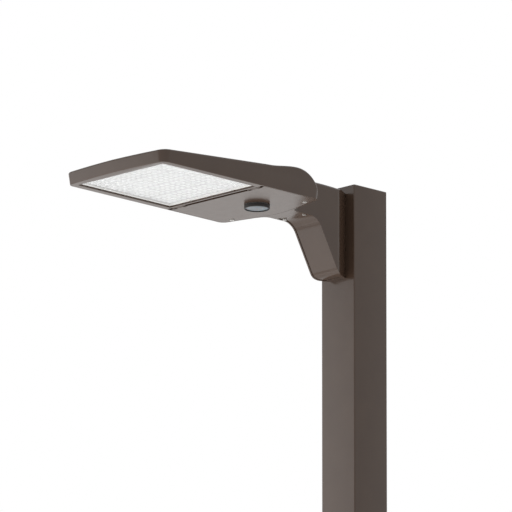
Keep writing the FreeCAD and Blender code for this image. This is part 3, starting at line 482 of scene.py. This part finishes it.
# ---- Operators -----------------------------------------------------------------------
class LIGHT_OT_stage(bpy.types.Operator):
    """Floor, post, soft light and the camera at the photograph's angle."""
    bl_idname = "light.stage"
    bl_label = "Stage"
    # name: place, width and height in metres
    lamps = {"key": ((-4.6, -4.9, -1.1), 5.0, 6.0), "fill": ((-0.8, -1.2, -4.5), 4.0, 4.0)}
    aim = Vector((0, -0.3, 0))
    camera_target = Vector((0.0021, -0.2551, -0.1086))
    camera_back = Vector((0.68592, -0.68592, -0.24294)).normalized()
    camera_distance = 30.0
    width_at_target = 1.1123
    film_width_mm = 36

    def execute(self, context):
        settings = context.scene.light_stage
        scene = context.scene
        scene.view_settings.view_transform = "Standard"
        self.add_world(scene, settings)
        self.add_floor(settings)
        self.add_post(settings)
        self.add_soft_light("key", settings.key_power)
        self.add_soft_light("fill", settings.fill_power)
        self.add_camera(scene)
        return {"FINISHED"}

    def add_world(self, scene, settings):
        """White for the camera and for what metal and glass show, softer for the light itself."""
        world = bpy.data.worlds.new("studio")
        scene.world = world
        world.use_nodes = True
        world.node_tree.nodes.clear()
        path = add_node(world, "ShaderNodeLightPath")
        seen = add_node(world, "ShaderNodeMath", {"operation": "MAXIMUM"},
                        i0=path.outputs["Is Camera Ray"], i1=path.outputs["Is Glossy Ray"])
        seen = add_node(world, "ShaderNodeMath", {"operation": "MAXIMUM"},
                        i0=seen.outputs[0], i1=path.outputs["Is Transmission Ray"])
        strength = add_node(world, "ShaderNodeMapRange", None, Value=seen.outputs[0],
                            To_Min=settings.world_strength, To_Max=1.0)
        sky = add_node(world, "ShaderNodeBackground", None, Color=(1, 1, 1, 1),
                       Strength=strength.outputs["Result"])
        add_node(world, "ShaderNodeOutputWorld", None, Surface=sky.outputs["Background"])

    def add_floor(self, settings):
        half = settings.floor_half
        z = settings.floor_height
        corners = [(-half, -half, z), (half, -half, z), (half, half, z), (-half, half, z)]
        floor = object_from("floor", corners, [(0, 1, 2, 3)], False)
        floor.data.materials.append(pale_floor(settings.floor_colour))

    def add_post(self, settings):
        """Square post: an outline of four quarter circles joined by straight sides, carried up Z."""
        half = settings.post_width / 2
        radius = settings.post_corner
        quarter = math.pi / 2
        turn = np.linspace(0, quarter, 7)
        outline = np.concatenate([
            np.stack([cx * (half - radius) + radius * np.cos(turn + start * quarter),
                      cy * (half - radius) + radius * np.sin(turn + start * quarter)], 1)
            for start, (cx, cy) in enumerate(((1, 1), (-1, 1), (-1, -1), (1, -1)))])
        count = len(outline)
        chamfer = settings.post_chamfer
        levels = [settings.floor_height, settings.post_top - chamfer, settings.post_top]
        shrink = [1.0, 1.0, 1 - chamfer / half]
        rings = [np.column_stack([outline * s + (0, half), np.full(count, z)])
                 for z, s in zip(levels, shrink)]
        here = np.arange(count)
        beside = np.roll(here, -1)
        faces = np.concatenate([np.stack([here, beside, beside + count, here + count], -1) + k * count
                                for k in range(len(levels) - 1)]).tolist()
        faces.append((here + (len(levels) - 1) * count).tolist())
        post = object_from("post", np.concatenate(rings), faces)
        post.data.set_sharp_from_angle(angle=math.radians(30))
        dress(post, "bronze_paint")

    def add_soft_light(self, name, power):
        """Rectangular lamp turned to the head."""
        place, width, height = self.lamps[name]
        lamp = bpy.data.lights.new(name, "AREA")
        lamp.shape = "RECTANGLE"
        lamp.size = width
        lamp.size_y = height
        lamp.energy = power
        made = bpy.data.objects.new(name, lamp)
        bpy.context.scene.collection.objects.link(made)
        made.location = place
        made.rotation_euler = (self.aim - Vector(place)).to_track_quat("-Z", "Y").to_euler()

    def add_camera(self, scene):
        """Long lens at 45 degrees to the post's faces, looking up at 14 degrees."""
        lens = bpy.data.cameras.new("camera")
        lens.sensor_width = self.film_width_mm
        lens.lens = self.film_width_mm * self.camera_distance / self.width_at_target
        lens.clip_end = 100
        camera = bpy.data.objects.new("camera", lens)
        scene.collection.objects.link(camera)
        camera.location = self.camera_target + self.camera_back * self.camera_distance
        camera.rotation_euler = self.camera_back.to_track_quat("Z", "Y").to_euler()
        scene.camera = camera


class LIGHT_OT_finishes(bpy.types.Operator):
    """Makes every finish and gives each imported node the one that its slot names."""
    bl_idname = "light.finishes"
    bl_label = "Finishes"

    def execute(self, context):
        FINISHES.update(make_finishes(context.scene.light_finish))
        for name, node in NODES.items():
            dress(node, SLOT_OF[name])
        return {"FINISHED"}


class LIGHT_OT_castings(bpy.types.Operator):
    """Housing, arm, door and arm cover with rounded edges and smooth skins."""
    bl_idname = "light.castings"
    bl_label = "Castings"

    def execute(self, context):
        edge = context.scene.light_finish.edge_rounding / MM
        for node in ("housing", "arm", "door", "arm_cover"):
            softened(node, edge)
        return {"FINISHED"}


class LIGHT_OT_optics(bpy.types.Operator):
    """Lens with one low dome over each emitter, and its frame."""
    bl_idname = "light.optics"
    bl_label = "Optics"

    def execute(self, context):
        optics = context.scene.light_optics
        least, most = extent("lens")
        middle = (least + most) / 2
        plate_low = most[2] - optics.plate
        depth = plate_low - least[2]
        pitch = (most - least - 2 * optics.frame_cover)[:2] / optics.modules

        def from_dome(place, axis):
            """Distance from the nearest row of domes: fold by module, then by dome."""
            from_edge = place - middle[axis] + optics.modules * pitch[axis] / 2
            in_module = from_edge % pitch[axis] - pitch[axis] / 2
            half = (optics.domes - 1) / 2
            row = np.clip(np.round(in_module / optics.dome_pitch + half), 0, optics.domes - 1) - half
            return in_module - row * optics.dome_pitch

        def low(x, y):
            """Cap over each emitter: depth times (1 - (d / radius)^2), and flat between them."""
            far = np.hypot(from_dome(x, 0), from_dome(y, 1)) / optics.dome_radius
            inside = np.abs(np.stack([x - middle[0], y - middle[1]])).T \
                < (most - least)[:2] / 2 - optics.frame_cover
            cap = np.clip(1 - far ** 2, 0, 1) * inside.all(-1).T
            return plate_low - depth * cap

        count = np.ceil((most - least)[:2] / optics.mesh_step).astype(int) + 1
        xs = np.linspace(least[0], most[0], count[0])
        ys = np.linspace(least[1], most[1], count[1])
        lens = height_field("domed_lens", xs, ys, low, most[2])
        seat_piece(lens, SLOT_OF["lens"], BODY_OF["lens"], "lens")
        softened("lens_frame", 2 * context.scene.light_finish.small_edge / MM)
        return {"FINISHED"}


class LIGHT_OT_sensor(bpy.types.Operator):
    """Sensor housing, nut and can, and the ringed dome of its lens."""
    bl_idname = "light.sensor"
    bl_label = "Sensor"

    def execute(self, context):
        sensor = context.scene.light_sensor
        least, most = extent("sensor_lens")
        centre = (least + most)[:2] / 2
        radius = (most - least)[0] / 2
        share = np.linspace(0, 1, 61)[1:-1]
        # low crown z = lowest + crown s^2, with ridges ring_depth high every ring in radius
        ridges = np.abs(np.sin(math.pi * share * radius / sensor.ring))
        skin = least[2] + sensor.crown * share ** 2 + sensor.ring_depth * ridges
        profile = [(0, least[2])] + list(zip(share * radius, skin))
        profile += [(radius, skin[-1] + sensor.lip), (radius, most[2]), (0, most[2])]
        lens = turned("sensor_dome", centre, profile)
        lens.data.set_sharp_from_angle(angle=SHARP_ANGLE)
        seat_piece(lens, SLOT_OF["sensor_lens"], BODY_OF["sensor_lens"], "sensor_lens")
        edge = context.scene.light_finish.small_edge / MM
        for node in ("sensor_housing", "sensor_cell", "sensor_gasket", "sensor_nut"):
            softened(node, edge)
        return {"FINISHED"}


class LIGHT_OT_seals(bpy.types.Operator):
    """Seals and the wire grommet."""
    bl_idname = "light.seals"
    bl_label = "Seals"

    def execute(self, context):
        edge = context.scene.light_finish.small_edge / MM
        for node in ("lens_gasket", "door_gasket", "arm_gasket", "wire_grommet"):
            softened(node, 2 * edge)
        return {"FINISHED"}


class LIGHT_OT_fasteners(bpy.types.Operator):
    """Screws, bolts, washers, rings and hinge pins with smooth turned skins."""
    bl_idname = "light.fasteners"
    bl_label = "Fasteners"

    def execute(self, context):
        edge = context.scene.light_finish.small_edge / MM
        for node in ("lens_frame_screws", "board_screws", "terminal_screws", "device_screws",
                     "ground_screw", "hinge_pins", "captive_ring_left", "captive_ring_right",
                     "door_screw_left", "door_screw_right", "arm_bolts", "arm_washers",
                     "arm_cover_screws"):
            softened(node, edge)
        return {"FINISHED"}


class LIGHT_OT_electrics(bpy.types.Operator):
    """Boards, driver, surge protector and terminal block."""
    bl_idname = "light.electrics"
    bl_label = "Electrics"

    def execute(self, context):
        edge = context.scene.light_finish.small_edge / MM
        softened("led_boards", edge)
        for node in ("driver", "surge_protector", "terminal_block"):
            softened(node, 2 * edge)
        return {"FINISHED"}


class LIGHT_PT_panel(bpy.types.Panel):
    bl_idname = "LIGHT_PT_panel"
    bl_label = "Area Light"
    bl_space_type = "VIEW_3D"
    bl_region_type = "UI"
    bl_category = "Area Light"

    def draw(self, context):
        scene = context.scene
        for group in (scene.light_finish, scene.light_optics, scene.light_sensor, scene.light_stage):
            for key in group.__annotations__:
                self.layout.prop(group, key)
        for step in STEPS:
            self.layout.operator(step.bl_idname)


STEPS = (LIGHT_OT_finishes, LIGHT_OT_stage, LIGHT_OT_castings, LIGHT_OT_optics, LIGHT_OT_sensor,
         LIGHT_OT_seals, LIGHT_OT_fasteners, LIGHT_OT_electrics)
CLASSES = (LIGHT_PG_finish, LIGHT_PG_optics, LIGHT_PG_sensor, LIGHT_PG_stage, *STEPS,
           LIGHT_PT_panel)


def register():
    for cls in CLASSES:
        bpy.utils.register_class(cls)
    bpy.types.Scene.light_finish = bpy.props.PointerProperty(type=LIGHT_PG_finish)
    bpy.types.Scene.light_optics = bpy.props.PointerProperty(type=LIGHT_PG_optics)
    bpy.types.Scene.light_sensor = bpy.props.PointerProperty(type=LIGHT_PG_sensor)
    bpy.types.Scene.light_stage = bpy.props.PointerProperty(type=LIGHT_PG_stage)


def unregister():
    del bpy.types.Scene.light_stage
    del bpy.types.Scene.light_sensor
    del bpy.types.Scene.light_optics
    del bpy.types.Scene.light_finish
    for cls in reversed(CLASSES):
        bpy.utils.unregister_class(cls)


def main():
    register()
    for step in STEPS:
        getattr(bpy.ops.light, step.bl_idname.split(".")[1])()


if __name__ == "__main__":
    main()
